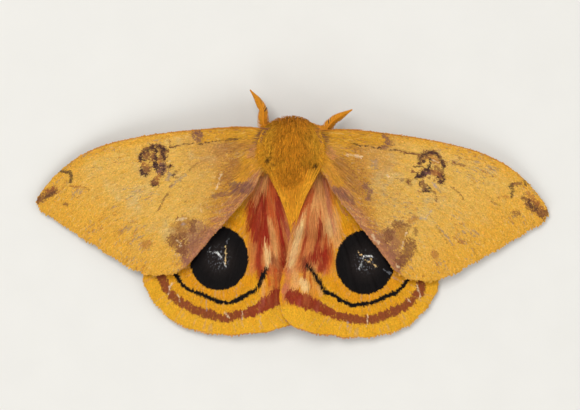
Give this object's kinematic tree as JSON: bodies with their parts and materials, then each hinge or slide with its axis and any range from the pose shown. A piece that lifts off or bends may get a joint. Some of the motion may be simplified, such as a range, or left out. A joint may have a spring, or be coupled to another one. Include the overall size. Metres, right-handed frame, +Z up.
{
  "type": "io moth",
  "caption": "Male io moth at rest with open wings: furry body, combed feelers, broad forewings over hindwings with eyespots, standing on its legs.",
  "frame": {"origin": "on the surface the moth stands on, under the middle of its overall box", "axes": "+X towards the moth's right side, +Y towards its head, +Z up from the surface, the way its back faces"},
  "size_m": [0.0684, 0.0325, 0.0086],
  "materials": {
    "fur": "dense matte hair",
    "head": "dense matte hair",
    "wing": "matte scales on a thin membrane",
    "hindwing": "matte scales on a thin membrane",
    "antenna": "matte horn-like shaft and rays",
    "leg": "matte, hairy",
    "eye": "glossy, faceted"
  },
  "bodies": {
    "root": {"thorax": "fur", "abdomen": "fur", "head": "head", "forewing_left": "wing", "forewing_right": "wing", "hindwing_left": "hindwing", "hindwing_right": "hindwing", "antenna_left": "antenna", "antenna_right": "antenna", "eye_left": "eye", "eye_right": "eye", "palp_left": "head", "palp_right": "head", "leg_front_left": "leg", "leg_front_right": "leg", "leg_middle_left": "leg", "leg_middle_right": "leg", "leg_hind_left": "leg", "leg_hind_right": "leg"}
  },
  "joints": []
}
